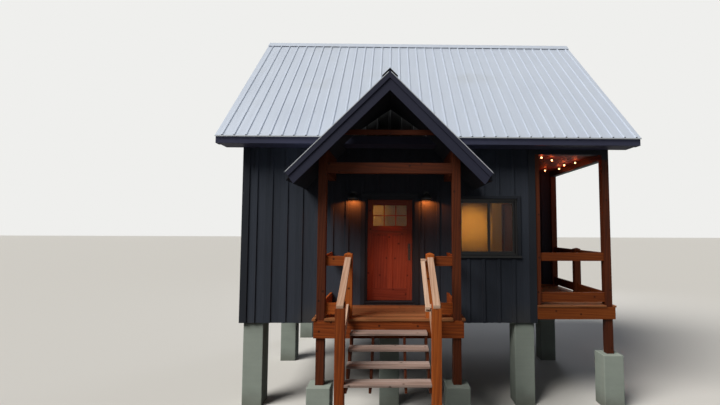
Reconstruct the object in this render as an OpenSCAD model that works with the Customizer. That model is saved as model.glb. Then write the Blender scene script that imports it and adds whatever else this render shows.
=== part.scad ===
// Board-and-batten cabin on concrete piers, with a gabled entry porch, an open stair
// and a corner porch under the main roof. Front faces -Y, X runs along the ridge.
// The origin is at the centre of the footprint of the whole building, at its lowest ground.

/* [Body of the cabin] */
// Length of the main roof along the ridge
roof_len = 8230; // [8000:10:8500]
// Depth of the cabin between the outer faces of its long walls
cabin_d = 5650; // [5400:10:6000]
// Overhang of the roof past both gable walls
gable_overhang = 410; // [350:5:450]
// Overhang of the roof past both long walls
eave_overhang = 470; // [440:5:520]
// Thickness of the outer walls
wall_t = 165; // [150:5:180]
// Height of the floor above the lowest ground
floor_z = 2020; // [1900:10:2400]
// Height of the top edge of the eaves above the floor
eave_h = 3260; // [3200:10:3400]
// Depth of the siding below the floor
skirt_h = 400; // [350:5:420]

/* [Corner porch] */
// Width of the corner porch, measured out from the inner wall
corner_w = 1520; // [1400:10:1650]
// Depth of the corner porch
corner_d = 2825; // [2700:5:2900]
// Height of the outer beam's underside above the floor
outer_beam_z = 2885; // [2800:5:2900]
// Height of the front beam's underside above the floor
front_beam_z = 2990; // [2950:5:3000]

/* [Entry porch] */
// Centre of the porch, door and stair, from the middle of the roof
entry_x = -764; // [-850:1:-700]
// Depth of the deck in front of the wall
entry_d = 1282; // [1200:1:1400]
// Half the width of the deck
entry_half = 1290; // [1280:1:1330]
// Half the distance between the posts' centres
post_half = 1157; // [1120:1:1160]
// Overhang of the gable roof past the deck
entry_overhang = 320; // [250:5:400]
// Half the width of the gable roof
gable_half = 1720; // [1650:5:1750]
// Height of the gable's peak above the floor
gable_peak = 4120; // [4000:5:4150]
// Height of the front beam's underside above the floor
entry_beam_z = 2420; // [2350:5:2450]

/* [Stair] */
// Number of treads below the deck
treads = 4; // [3:1:5]
// Rise of each step
rise = 178; // [170:1:200]
// Run of each step
run = 254; // [240:1:290]
// Half the distance between the newels' centres
newel_half = 700; // [650:1:720]

/* [Door and window] */
// Width of the entry door's leaf
door_w = 914; // [800:1:920]
// Height of the entry door's leaf
door_h = 2032; // [1950:1:2080]
// Left edge of the window's frame
window_x0 = 600; // [560:1:650]
// Right edge of the window's frame
window_x1 = 1820; // [1750:1:1850]
// Underside of the window's frame above the floor
window_z0 = 926; // [850:1:1000]
// Top of the window's frame above the floor
window_z1 = 2076; // [2000:1:2150]

/* [Lumber and concrete] */
// Side of the square posts
post = 140; // [130:1:150]
// Thickness of planks, rails and deck boards
plank = 38; // [35:1:42]
// Side of the concrete piers
pier = 390; // [350:5:410]

/* [Hidden] */

// Ribbed sheet
rib_pitch = 228.6;
rib_h = 19;
rib_w = 45;
rib_top = 20;
sheet_t = 3;

// Plan: the front wall's outer face is at front_y, and the roof is centred on X.
// The back roof's lowest rib reaches past the eave by its lip.
stair_d = entry_d + treads * run;
rib_lip = (rib_h + sheet_t) / sqrt(2);
front_y = -round((cabin_d + eave_overhang + rib_lip - stair_d) / 2);
back_y = front_y + cabin_d;
mid_y = front_y + cabin_d / 2;
left_x = -roof_len / 2 + gable_overhang;
outer_x = roof_len / 2 - gable_overhang;
inner_x = outer_x - corner_w;
corner_y = front_y + corner_d;

// Levels
floor_t = 38;
joist_h = 235;
girder_h = 140;
skirt_z = floor_z - skirt_h;
joist_z = floor_z - floor_t - joist_h;
pier_top = joist_z - girder_h;
deck_z = floor_z - 50;
deck_low = deck_z - plank;
eave_z = floor_z + eave_h;

// Roof: its thicknesses are measured straight down, and its slopes rise 12 in 12
metal_t = 24;
rafter_t = 280;
structure_z = eave_z - metal_t;
soffit_t = 15;
soffit_z = eave_z - 170;
rake_t = 38;
rake_h = 235;
verge = 5;
ridge_gap = 20;
cap_gap = 0.5;
entry_reach = 900;
rib_clear = 36;

// Walls
siding_t = 25;
joint = 1;
inset = 50 + pier / 2;

// Entry porch
entry_front = front_y - entry_d;
gable_front = entry_front - entry_overhang;
gable_z = floor_z + gable_peak;
entry_roof_t = 150;
entry_rim_h = 286;
rim_half = post_half + post / 2 + plank;
post_y = entry_front + 5 + plank;
barge_t = 38;
barge_h = 235;
shadow_t = 19;
shadow_h = 89;
beam_h = 184;
entry_pier_top = floor_z - 1150;

// Corner porch
beam_top = floor_z + 3170;
corner_pier_top = floor_z - 1005;
wall_post = 90;
newel_y = (front_y + post + corner_y - wall_post) / 2;

// Rails
rail_top = floor_z + 990;
rail_h = 165;
kick_z = deck_z + 58;
kick_h = 190;

// Stair
tread_t = 38;
newel_low_top = floor_z + 310;
newel_top = floor_z + 1049;
handrail_z = floor_z + 930;
handrail_h = 46;
stair_board_z = floor_z - 552;
stair_board_h = 203;

// Door opening
door_z = floor_z + 22;
door_gap = 7;
jamb_t = 32;
leaf_t = 44;
sill_t = 15;
stop_t = 12;
door_x0 = entry_x - door_w / 2;
door_x1 = entry_x + door_w / 2;
opening_x0 = door_x0 - door_gap - jamb_t;
opening_x1 = door_x1 + door_gap + jamb_t;
opening_z = door_z + door_h + door_gap + jamb_t;
leaf_y = front_y + wall_t - leaf_t;
stile = 115;
muntin = 20;
light_w = (door_w - 2 * stile - 2 * muntin) / 3;
light_h = 200;

// Hinges: the pin stands inside the room, beside the leaf's edge
pin_x = door_x0 - door_gap / 2;
pin_y = front_y + wall_t + 8;
pin_r = 3;
pin_gap = 0.1;
knuckle_r = 6.5;
knuckle_h = 34;
plate_t = 2.4;
hinge_levels = [180, 1016, 1852];

// Door of the corner porch, in its side wall
porch_door_y = front_y + corner_d / 2 + 100;

// Window: one sash slides behind the other, and their stiles meet at sash_x
frame_w = 40;
sash_x = 1245;
sash_w = 45;
sash_t = 30;
pane_t = 8;
outer_track = front_y + 35;
inner_track = outer_track + sash_t + 1;

// Colours
cedar = "#9a4f2a";
siding = "#23272c";
metal = "#c9ced4";
concrete = "#a7aaa5";
lumber = "#8d6a45";
black = "#1c1c1c";
glass = "#3a4a50";

// Box between two corners
module box(a, b) {
  translate(a) cube(b - a);
}

// Profile in the Y-Z plane drawn out along X from x0 to x1
module along_x(x0, x1) {
  translate([x0, 0, 0])
    rotate([90, 0, 90])
      linear_extrude(height = x1 - x0)
        children();
}

// Profile in the X-Z plane drawn out along Y from y0 to y1
module along_y(y0, y1) {
  translate([0, y1, 0])
    rotate([90, 0, 0])
      linear_extrude(height = y1 - y0)
        children();
}

// Height of the main roof's structure above a place across the building
function roof_top(y) = structure_z + eave_overhang + (y < mid_y ? y - front_y : back_y - y);
function roof_under(y) = roof_top(y) - rafter_t;

// Height of the entry roof's structure above a place along the front
function entry_top(x) = gable_z - metal_t - abs(x - entry_x);
function entry_under(x) = entry_top(x) - entry_roof_t;

// Level and front edge of a tread, counted down from the deck
function tread_z(k) = deck_z - k * rise;
function tread_y(k) = entry_front - k * run;

// Square pier with its top at a level
module pier_at(x, y, top) {
  translate([x - pier / 2, y - pier / 2, 0]) cube([pier, pier, top]);
}

module concrete_piers() {
  color(concrete) {
    for (x = [left_x + inset, entry_x, inner_x - inset])
      pier_at(x, front_y + inset, pier_top);
    for (x = [left_x + inset, entry_x, outer_x - inset], y = [corner_y + inset, back_y - inset])
      pier_at(x, y, pier_top);
    pier_at(outer_x - post / 2, front_y + post / 2, corner_pier_top);
    for (side = [-1, 1])
      pier_at(entry_x + side * post_half, post_y + post / 2, entry_pier_top);
  }
}

// Outline of the floor, set in from the walls' outer faces: an L round the corner porch
module floor_outline(set_in) {
  difference() {
    translate([left_x + set_in, front_y + set_in])
      square([outer_x - left_x - 2 * set_in, cabin_d - 2 * set_in]);
    translate([inner_x - set_in, front_y])
      square([corner_w + 2 * set_in, corner_d + set_in]);
  }
}

// Rim of the floor on one side: boards of one plank, butted with the joint's gap
module rim_x(x0, x1, y) {
  box([x0, y, joist_z], [x1, y + plank, joist_z + joist_h]);
}

module rim_y(y0, y1, x) {
  box([x, y0 + joint, joist_z], [x + plank, y1 - joint, joist_z + joist_h]);
}

// Girders on the piers, and the rims under the outer walls
module floor_frame() {
  half = 57;
  low_y = front_y + siding_t;
  high_y = back_y - siding_t - plank;
  step_y = corner_y + siding_t;
  left = left_x + siding_t;
  right = outer_x - siding_t - plank;
  step_x = inner_x - siding_t - plank;
  color(lumber) {
    for (y = [front_y, corner_y, back_y - 2 * inset]) {
      end = y == front_y ? step_x : right;
      box([left + plank, y + inset - half, pier_top], [end, y + inset + half, joist_z]);
    }
    rim_x(left, step_x + plank, low_y);
    rim_x(step_x + plank + joint, right + plank, step_y);
    rim_x(left, right + plank, high_y);
    rim_y(low_y + plank, high_y, left);
    rim_y(step_y + plank, high_y, right);
  }
}

// Joists across the cabin between the rims, and the long rim beside the corner porch
module floor_joists() {
  spacing = 406;
  start = left_x + siding_t + spacing;
  low_y = front_y + siding_t + plank;
  high_y = back_y - siding_t - plank;
  color(lumber) {
    for (x = [start : spacing : outer_x - siding_t - 2 * plank]) {
      step = x > inner_x - siding_t - 2 * plank ? corner_d : 0;
      box([x, low_y + step, joist_z], [x + plank, high_y, joist_z + joist_h]);
    }
    rim_y(low_y, high_y, inner_x - siding_t - plank);
  }
}

module floor_boards() {
  color("#a4784d")
    translate([0, 0, floor_z - floor_t])
      linear_extrude(height = floor_t)
        floor_outline(siding_t);
}

// Part of a long wall: the wall stands on the floor, and its siding hangs past the floor's frame.
// y is the outer face, and inward points into the room.
module long_wall(x0, x1, y, inward) {
  room = y + inward * wall_t;
  skin = y + inward * siding_t;
  box([x0, min(y, room), floor_z], [x1, max(y, room), roof_under(y)]);
  box([x0, min(y, skin), skirt_z], [x1, max(y, skin), floor_z]);
}

module front_wall_left() {
  color(siding) long_wall(left_x, opening_x0, front_y, 1);
}

module front_wall_right() {
  color(siding)
    difference() {
      long_wall(opening_x1, inner_x, front_y, 1);
      box([window_x0, front_y - 1, floor_z + window_z0],
          [window_x1, front_y + wall_t + 1, floor_z + window_z1]);
    }
}

// Wall over the entry door, and the siding below its sill
module front_wall_header() {
  color(siding) {
    box([opening_x0, front_y, opening_z], [opening_x1, front_y + wall_t, roof_under(front_y)]);
    box([opening_x0, front_y, skirt_z], [opening_x1, front_y + siding_t, floor_z]);
  }
}

module back_wall() {
  color(siding) long_wall(left_x, outer_x, back_y, -1);
}

// Gable's outline up to the roof, between two places across the building
module gable_outline(y0, y1, low) {
  polygon([[y0, low], [y1, low], [y1, roof_under(y1)], [mid_y, roof_under(mid_y)],
           [y0, roof_under(y0)]]);
}

module left_gable_wall() {
  color(siding) {
    along_x(left_x, left_x + wall_t)
      gable_outline(front_y + wall_t, back_y - wall_t, floor_z);
    box([left_x, front_y + siding_t, skirt_z], [left_x + siding_t, back_y - siding_t, floor_z]);
  }
}

// The right gable stands on the rear wall and, over the corner porch, on the outer beam
module right_gable_wall() {
  color(siding) {
    along_x(outer_x - wall_t, outer_x)
      difference() {
        gable_outline(front_y, back_y - wall_t, floor_z);
        translate([front_y - 1, floor_z - 1])
          square([corner_d + wall_t + 1, beam_top - floor_z + 1]);
      }
    box([outer_x - siding_t, corner_y + siding_t, skirt_z],
        [outer_x, back_y - siding_t, floor_z]);
  }
}

module porch_side_wall() {
  half = door_w / 2 + door_gap + jamb_t;
  color(siding) {
    difference() {
      along_x(inner_x - wall_t, inner_x)
        gable_outline(front_y + wall_t, corner_y + wall_t, floor_z);
      box([inner_x - wall_t - 1, porch_door_y - half, floor_z - 1],
          [inner_x + 1, porch_door_y + half, opening_z]);
    }
    box([inner_x - siding_t, front_y + siding_t, skirt_z], [inner_x, corner_y, floor_z]);
  }
}

module porch_back_wall() {
  color(siding) {
    box([inner_x, corner_y, floor_z], [outer_x, corner_y + wall_t, beam_top]);
    along_x(inner_x, outer_x - wall_t)
      polygon([[corner_y, beam_top], [corner_y + wall_t, beam_top],
               [corner_y + wall_t, roof_under(corner_y + wall_t)],
               [corner_y, roof_under(corner_y)]]);
    box([inner_x, corner_y, skirt_z], [outer_x, corner_y + siding_t, floor_z]);
  }
}

// Rafters and sheathing as one shell, with tails cut plumb behind the fascia and level above the soffit
module roof_structure() {
  tail = front_y - eave_overhang + 20 + plank;
  tail_back = back_y + eave_overhang - 20 - plank;
  flat = soffit_z + soffit_t;
  bend = front_y - eave_overhang + flat - structure_z + rafter_t;
  bend_back = back_y + eave_overhang - flat + structure_z - rafter_t;
  color("#6f5a40")
    along_x(-roof_len / 2 + verge + rake_t, roof_len / 2 - verge - rake_t)
      polygon([[tail, flat], [bend, flat], [mid_y, roof_under(mid_y)], [bend_back, flat],
               [tail_back, flat], [tail_back, roof_top(tail_back)], [mid_y, roof_top(mid_y)],
               [tail, roof_top(tail)]]);
}

// Ribbed sheet seen end on: a thin pan with ribs at an even pitch, from 0 to the width
module rib_profile(width, lead) {
  ribs = floor((width - lead - rib_w / 2) / rib_pitch);
  rib = [[-rib_w / 2, sheet_t], [-rib_top / 2, rib_h + sheet_t],
         [rib_top / 2, rib_h + sheet_t], [rib_w / 2, sheet_t]];
  polygon(concat(
    [[0, 0], [0, sheet_t]],
    [for (i = [0 : ribs], p = rib) [lead + i * rib_pitch + p[0], p[1]]],
    [[width, sheet_t], [width, 0]]));
}

// Ribbed sheet on a 12 in 12 slope: its low edge starts at the origin, and it climbs towards +Y
module ribbed_sheet(width, length, lead) {
  rotate([45, 0, 0])
    translate([0, length, 0])
      rotate([90, 0, 0])
        linear_extrude(height = length) rib_profile(width, lead);
}

module main_sheet() {
  slope = (eave_overhang + cabin_d / 2 - ridge_gap) * sqrt(2);
  color(metal)
    translate([-roof_len / 2, 0, 0])
      ribbed_sheet(roof_len, slope, rib_pitch / 2 + 20);
}

module front_roof_metal() {
  low_y = front_y - eave_overhang;
  translate([0, low_y, roof_top(low_y)]) main_sheet();
}

module back_roof_metal() {
  low_y = back_y + eave_overhang;
  translate([0, low_y, roof_top(low_y)]) rotate([0, 0, 180]) main_sheet();
}

// Folded cap over the tops of the ribs, as an outline round a ridge at the place and level given
module cap_outline(place, level, lap) {
  top = level + (rib_h + sheet_t) * sqrt(2) + cap_gap;
  thick = 4;
  polygon([[place - lap, top - lap], [place, top], [place + lap, top - lap],
           [place + lap, top - lap + thick], [place, top + thick],
           [place - lap, top - lap + thick]]);
}

module ridge_cap() {
  color(metal)
    along_x(-roof_len / 2, roof_len / 2)
      cap_outline(mid_y, roof_top(mid_y), 150);
}

// Fascia and level soffit of one eave, from the roof's edge inward to the wall
module eave(edge, inward) {
  half = roof_len / 2 - verge - rake_t;
  face = edge + inward * 20;
  board = face + inward * plank;
  wall = edge + inward * eave_overhang;
  box([-half, min(face, board), soffit_z], [half, max(face, board), roof_top(face)]);
  box([-half, min(board, wall), soffit_z], [half, max(board, wall), soffit_z + soffit_t]);
}

module eave_boards() {
  color(siding) {
    eave(front_y - eave_overhang, 1);
    eave(back_y + eave_overhang, -1);
  }
}

// Board along both slopes at a gable end, cut level at the soffit
module rake_pair(x) {
  low = front_y - eave_overhang + 20;
  high = back_y + eave_overhang - 20;
  depth = rake_h * sqrt(2);
  heel = depth - roof_top(low) + soffit_z;
  along_x(x, x + rake_t)
    polygon([[low, soffit_z], [low + heel, soffit_z], [mid_y, roof_top(mid_y) - depth],
             [high - heel, soffit_z], [high, soffit_z], [high, roof_top(high)],
             [mid_y, roof_top(mid_y)], [low, roof_top(low)]]);
}

module rake_boards() {
  color(siding) {
    rake_pair(-roof_len / 2 + verge);
    rake_pair(roof_len / 2 - verge - rake_t);
  }
}

module corner_ceiling() {
  low = floor_z + front_beam_z + 30;
  color(cedar)
    box([inner_x, front_y + post, low], [outer_x - post, corner_y, low + 20]);
}

module corner_beams() {
  color(siding) {
    box([inner_x, front_y, floor_z + front_beam_z], [outer_x - post, front_y + post, beam_top]);
    box([outer_x - post, front_y, floor_z + outer_beam_z], [outer_x, corner_y, beam_top]);
  }
}

module corner_posts() {
  beam = floor_z + outer_beam_z;
  color(cedar) {
    box([outer_x - post, front_y, corner_pier_top], [outer_x, front_y + post, beam]);
    box([outer_x - post, corner_y - wall_post, deck_z], [outer_x, corner_y, beam]);
    box([inner_x, front_y, deck_z],
        [inner_x + wall_post, front_y + wall_post, floor_z + front_beam_z]);
    newel(outer_x - post / 2, newel_y, deck_z, rail_top + 40);
  }
}

module corner_deck() {
  nose = plank + 15;
  color(cedar)
    difference() {
      box([inner_x, front_y - nose, deck_low], [outer_x + nose, corner_y, deck_z]);
      box([outer_x - post, front_y, deck_low - 1], [outer_x, front_y + post, deck_z + 1]);
    }
}

// Top rail and low kick board between two places along X or along Y
module rail_x(x0, x1, y) {
  box([x0, y, rail_top - rail_h], [x1, y + plank, rail_top]);
  box([x0, y, kick_z], [x1, y + plank, kick_z + kick_h]);
}

module rail_y(y0, y1, x) {
  box([x, y0, rail_top - rail_h], [x + plank, y1, rail_top]);
  box([x, y0, kick_z], [x + plank, y1, kick_z + kick_h]);
}

// Outline of a side beam on its post: the top follows the roof's slope
module seat_outline(side, low) {
  inner = entry_x + side * (post_half - post / 2);
  outer = entry_x + side * (post_half + post / 2);
  polygon([[inner, low], [outer, low], [outer, entry_under(outer)], [inner, entry_under(inner)]]);
}

module entry_posts() {
  color(cedar)
    for (side = [-1, 1])
      along_y(post_y, post_y + post) seat_outline(side, entry_pier_top);
}

// Side beams from the posts to the wall, the front beam between the posts, and the collar tie
module entry_beams() {
  low = floor_z + entry_beam_z;
  tie_low = floor_z + 3105;
  tie_h = 89;
  tie_half = entry_under(entry_x) - tie_low - tie_h;
  color(cedar) {
    for (side = [-1, 1])
      along_y(post_y + post, front_y) seat_outline(side, low);
    box([entry_x - post_half + post / 2, post_y + 20, low],
        [entry_x + post_half - post / 2, post_y + post - 20, low + beam_h]);
    along_y(post_y + 51, post_y + 51 + plank)
      polygon([[entry_x - tie_half - tie_h, tie_low], [entry_x + tie_half + tie_h, tie_low],
               [entry_x + tie_half, tie_low + tie_h], [entry_x - tie_half, tie_low + tie_h]]);
  }
}

// Clearance for both posts through the deck and its frame
module post_notches(low, high) {
  for (side = [-1, 1])
    box([entry_x + side * post_half - post / 2, post_y, low],
        [entry_x + side * post_half + post / 2, post_y + post, high]);
}

module entry_deck() {
  color(cedar)
    difference() {
      box([entry_x - entry_half, entry_front - 15, deck_low],
          [entry_x + entry_half, front_y, deck_z]);
      post_notches(deck_low - 1, deck_z + 1);
    }
}

// Rim boards in front of the posts and ledgers on the walls, under the edges of both decks
module deck_rims() {
  corner_low = deck_low - joist_h;
  low = deck_low - entry_rim_h;
  front = entry_front + 5;
  sides = [entry_x - rim_half, entry_x + rim_half - plank];
  color(cedar) {
    box([inner_x, front_y - plank, corner_low], [outer_x + plank, front_y, deck_low]);
    box([outer_x, front_y + joint, corner_low], [outer_x + plank, corner_y, deck_low]);
    box([inner_x, front_y + joint, corner_low], [inner_x + plank, corner_y, deck_low]);
    box([entry_x - rim_half, front, low], [entry_x + rim_half, front + plank, deck_low]);
    box([entry_x - rim_half, front_y - plank, low], [entry_x + rim_half, front_y, deck_low]);
    for (x = sides)
      box([x, front + plank + joint, low], [x + plank, front_y - plank - joint, deck_low]);
  }
}

// Joists between the rims and the ledgers
module deck_joists() {
  corner_low = deck_low - joist_h;
  low = deck_low - entry_rim_h;
  front = entry_front + 5 + plank;
  color(cedar) {
    for (y = [front_y + 400 : 480 : corner_y - plank])
      box([inner_x + plank, y, corner_low], [outer_x, y + plank, deck_low]);
    for (x = [-450, -plank / 2, 450 - plank])
      box([entry_x + x, front, low], [entry_x + x + plank, front_y - plank, deck_low]);
  }
}

// Rails of both porches: each board is butted against its posts
module porch_rails() {
  corner_x = outer_x - post / 2 - plank / 2;
  entry_y = post_y + post / 2 - plank / 2;
  color(cedar) {
    rail_x(inner_x + wall_post, outer_x - post, front_y + 26);
    rail_y(front_y + post, newel_y - post / 2, corner_x);
    rail_y(newel_y + post / 2, corner_y - wall_post, corner_x);
    for (side = [-1, 1]) {
      a = entry_x + side * (newel_half + post / 2);
      b = entry_x + side * (post_half - post / 2);
      rail_x(min(a, b), max(a, b), entry_y);
      rail_y(post_y + post, front_y, entry_x + side * post_half - plank / 2);
    }
  }
}

// Both slopes of the entry roof, seen from the front, with ends cut plumb
module entry_chevron(half) {
  tip = entry_top(entry_x + half);
  polygon([[entry_x - half, tip], [entry_x, entry_top(entry_x)], [entry_x + half, tip],
           [entry_x + half, tip - entry_roof_t], [entry_x, entry_under(entry_x)],
           [entry_x - half, tip - entry_roof_t]]);
}

// What the entry roof stops at: the wall, the eave and the slope of the main roof, with clearance
module main_body(lift) {
  low_y = front_y - eave_overhang - lift;
  along_x(entry_x - 2 * gable_half, entry_x + 2 * gable_half)
    polygon([[front_y, 0], [front_y, soffit_z - lift], [low_y, soffit_z - lift],
             [low_y, roof_top(low_y) + 2 * lift], [mid_y, roof_top(mid_y) + lift], [mid_y, 0]]);
}

module entry_roof() {
  color(siding)
    difference() {
      along_y(gable_front + barge_t, front_y + entry_reach)
        entry_chevron(gable_half - 20);
      main_body(rib_clear);
    }
}

module entry_roof_metal() {
  length = entry_reach + entry_d + entry_overhang;
  slope = (gable_half - ridge_gap) * sqrt(2);
  lead = rib_pitch / 2;
  color(metal)
    difference() {
      union() {
        translate([entry_x - gable_half, gable_front + length, entry_top(entry_x - gable_half)])
          rotate([0, 0, -90]) ribbed_sheet(length, slope, lead);
        translate([entry_x + gable_half, gable_front, entry_top(entry_x + gable_half)])
          rotate([0, 0, 90]) ribbed_sheet(length, slope, lead);
      }
      main_body(rib_clear);
    }
}

module entry_ridge_cap() {
  color(siding)
    difference() {
      along_y(gable_front - shadow_t - 5, front_y + entry_reach)
        cap_outline(entry_x, entry_top(entry_x), 130);
      main_body(rib_clear);
    }
}

// Board along both slopes of the entry gable, its ends cut between square and plumb
module barge_outline(depth, half) {
  drop = depth / sqrt(2);
  toe = 0.18 * drop;
  tip = entry_top(entry_x + half);
  polygon([[entry_x - half, tip], [entry_x, entry_top(entry_x)], [entry_x + half, tip],
           [entry_x + half - drop + toe, tip - drop - toe], [entry_x, entry_top(entry_x) - 2 * drop],
           [entry_x - half + drop - toe, tip - drop - toe]]);
}

// Barge boards, with a narrow shadow board along their upper edge
module barge_boards() {
  color(siding) {
    along_y(gable_front, gable_front + barge_t)
      barge_outline(barge_h, gable_half - 10);
    along_y(gable_front - shadow_t, gable_front)
      barge_outline(shadow_h, gable_half - 10);
  }
}

// Sawtooth stringer in the Y-Z plane: level seats, plumb cuts and a straight underside
module stringer_outline() {
  back = entry_front + 5;
  nosing = 25;
  throat = 150;
  toe = tread_z(treads) - tread_t - 90;
  knee_y = tread_y(treads - 1) + nosing;
  knee_z = tread_z(treads) - tread_t - throat;
  seats = [for (k = [1 : treads], y = [min(tread_y(k - 1) + nosing, back), tread_y(k) + nosing])
           [y, tread_z(k) - tread_t]];
  polygon(concat(seats, [
    [tread_y(treads) + nosing, toe],
    [knee_y + (toe - knee_z) * run / rise, toe],
    [back, knee_z + (back - knee_y) * rise / run]]));
}

module stair_stringers() {
  edge = newel_half - post / 2;
  color(cedar)
    for (x = [-edge, -257 - plank / 2, 257 - plank / 2, edge - plank])
      along_x(entry_x + x, entry_x + x + plank) stringer_outline();
}

module stair_treads() {
  half = newel_half - post / 2;
  color(cedar)
    for (k = [1 : treads])
      box([entry_x - half, tread_y(k), tread_z(k) - tread_t],
          [entry_x + half, tread_y(k - 1) - 5, tread_z(k)]);
}

// Square newel round a centre, with a low pyramid on top
module newel(x, y, low, top) {
  bevel = 25;
  crown = 28;
  box([x - post / 2, y - post / 2, low], [x + post / 2, y + post / 2, top - bevel]);
  translate([x, y, top - bevel])
    linear_extrude(height = bevel, scale = crown / post)
      square(post, center = true);
}

// Sloping board up to the upper newel, from a level at its low end
module stair_rail(x, width, y0, low, height) {
  y1 = post_y;
  climb = (y1 - y0) * (handrail_z - newel_low_top) / (post_y - tread_y(treads));
  along_x(x - width / 2, x + width / 2)
    polygon([[y0, low], [y1, low + climb], [y1, low + climb + height], [y0, low + height]]);
}

// The lower newels are cut to the slope under their handrails
module stair_newels() {
  low_y = tread_y(treads);
  color(cedar)
    for (side = [-1, 1]) {
      x = entry_x + side * newel_half;
      difference() {
        box([x - post / 2, low_y, 0], [x + post / 2, low_y + post, newel_low_top + post]);
        stair_rail(x, post + 2, low_y, newel_low_top, 2 * post);
      }
      newel(x, post_y + post / 2, deck_z, newel_top);
    }
}

module stair_handrails() {
  low_y = tread_y(treads);
  color(cedar)
    for (side = [-1, 1]) {
      x = entry_x + side * newel_half;
      stair_rail(x, 104, low_y, newel_low_top, handrail_h);
      stair_rail(x, plank, low_y + post, stair_board_z, stair_board_h);
    }
}

module door_frame() {
  y0 = front_y;
  y1 = front_y + wall_t;
  head = opening_z - jamb_t;
  stop_y = leaf_y - 5;
  color(siding) {
    for (x = [opening_x0, opening_x1 - jamb_t])
      box([x, y0, floor_z], [x + jamb_t, y1, opening_z]);
    box([opening_x0, y0, head], [opening_x1, y1, opening_z]);
    box([opening_x0, y0 - 30, floor_z], [opening_x1, y1, floor_z + sill_t]);
    for (x = [opening_x0 + jamb_t, opening_x1 - jamb_t - stop_t])
      box([x, stop_y - plank, floor_z], [x + stop_t, stop_y, head]);
    box([opening_x0, stop_y - plank, head - stop_t], [opening_x1, stop_y, head]);
  }
}

// One of the six lights, counted from the left and from below, drawn from the face given
module door_light(i, j, y, depth) {
  x = door_x0 + stile + i * (light_w + muntin);
  z = door_z + door_h - stile - 2 * light_h - muntin + j * (light_h + muntin);
  translate([x, y, z])
    cube([light_w, depth, light_h]);
}

module door_leaf() {
  panel_w = door_w / 2 - stile - 50;
  color(cedar) {
    difference() {
      box([door_x0, leaf_y, door_z], [door_x1, leaf_y + leaf_t, door_z + door_h]);
      for (i = [0 : 2], j = [0 : 1])
        door_light(i, j, leaf_y - 1, leaf_t + 2);
      for (x = [door_x0 + stile, door_x1 - stile - panel_w], y = [leaf_y - 1, leaf_y + leaf_t - 11])
        translate([x, y, door_z + 235]) cube([panel_w, 12, 1090]);
    }
    box([door_x0 + stile - 30, leaf_y - 22, door_z + 1400],
        [door_x1 - stile + 30, leaf_y, door_z + 1440]);
  }
}

module door_glass() {
  color(glass)
    for (i = [0 : 2], j = [0 : 1])
      door_light(i, j, leaf_y + 18, 8);
}

// Long grip with a deadbolt above it outside, and a round knob inside
module door_handle() {
  x = door_x1 - 65;
  z = door_z + 920;
  grip = 15;
  reach = 60;
  box([x - 25, leaf_y - 8, z - 120], [x + 25, leaf_y, z + 220]);
  translate([x, leaf_y - 8, z + 160])
    rotate([90, 0, 0]) cylinder(h = 20, d = 40, $fn = 48);
  box([x - 12, leaf_y - reach, z - 100], [x + 12, leaf_y - reach + grip, z + 110]);
  for (h = [z - 100, z + 90])
    box([x - 12, leaf_y - reach, h], [x + 12, leaf_y, h + 20]);
  translate([x, leaf_y + leaf_t, z + 20])
    rotate([-90, 0, 0]) cylinder(h = reach, d = 24, $fn = 48);
  translate([x, leaf_y + leaf_t + reach, z + 20]) sphere(d = 56, $fn = 48);
}

// Knuckle round the hinge's pin, from a level upward
module knuckle(z) {
  translate([pin_x, pin_y, z])
    cylinder(h = knuckle_h, r = knuckle_r, $fn = 32);
}

// Hinge plate against an edge, from a level upward: x0 is its low side
module hinge_plate(x0, y1, low, height) {
  box([x0, leaf_y + 4, low], [x0 + plate_t, y1, low + height]);
}

// The frame's plates carry the pin and the upper and lower knuckles
module frame_hinges() {
  height = 3 * knuckle_h + 2;
  edge = pin_x - door_gap / 2;
  color(black)
    for (h = hinge_levels) {
      low = door_z + h - height / 2;
      hinge_plate(edge, leaf_y + leaf_t, low, height);
      for (z = [low, low + height - knuckle_h]) {
        hinge_plate(edge, pin_y, z, knuckle_h);
        knuckle(z);
      }
      translate([pin_x, pin_y, low])
        cylinder(h = height, r = pin_r, $fn = 32);
    }
}

// The leaf's plates carry the middle knuckle, bored for the pin
module leaf_hinges() {
  for (h = hinge_levels) {
    low = door_z + h - knuckle_h / 2;
    difference() {
      union() {
        hinge_plate(door_x0 - plate_t, pin_y, low, knuckle_h);
        knuckle(low);
      }
      translate([pin_x, pin_y, low - 1])
        cylinder(h = knuckle_h + 2, r = pin_r + pin_gap, $fn = 32);
    }
  }
}

module door_hardware() {
  color(black) {
    door_handle();
    leaf_hinges();
  }
}

// Door from the room to the corner porch: a closed leaf in its frame
module porch_door() {
  half = door_w / 2 + door_gap + jamb_t;
  x0 = inner_x - wall_t;
  color(cedar) {
    difference() {
      box([x0, porch_door_y - half, floor_z], [inner_x, porch_door_y + half, opening_z]);
      box([x0 - 1, porch_door_y - half + jamb_t, floor_z + sill_t],
          [inner_x + 1, porch_door_y + half - jamb_t, opening_z - jamb_t]);
    }
    difference() {
      box([x0 + 60, porch_door_y - half + jamb_t, floor_z + sill_t],
          [x0 + 60 + leaf_t, porch_door_y + half - jamb_t, opening_z - jamb_t]);
      for (x = [x0 + 59, x0 + 60 + leaf_t - 11], z = [floor_z + 260, floor_z + 1200])
        translate([x, porch_door_y - door_w / 2 + stile, z]) cube([12, door_w - 2 * stile, 700]);
    }
  }
}

// Sash between two places along the front, in the track at the depth given
module sash(x0, x1, y) {
  z0 = floor_z + window_z0 + frame_w;
  z1 = floor_z + window_z1 - frame_w;
  difference() {
    box([x0, y, z0], [x1, y + sash_t, z1]);
    box([x0 + sash_w, y - 1, z0 + sash_w], [x1 - sash_w, y + sash_t + 1, z1 - sash_w]);
  }
}

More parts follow.
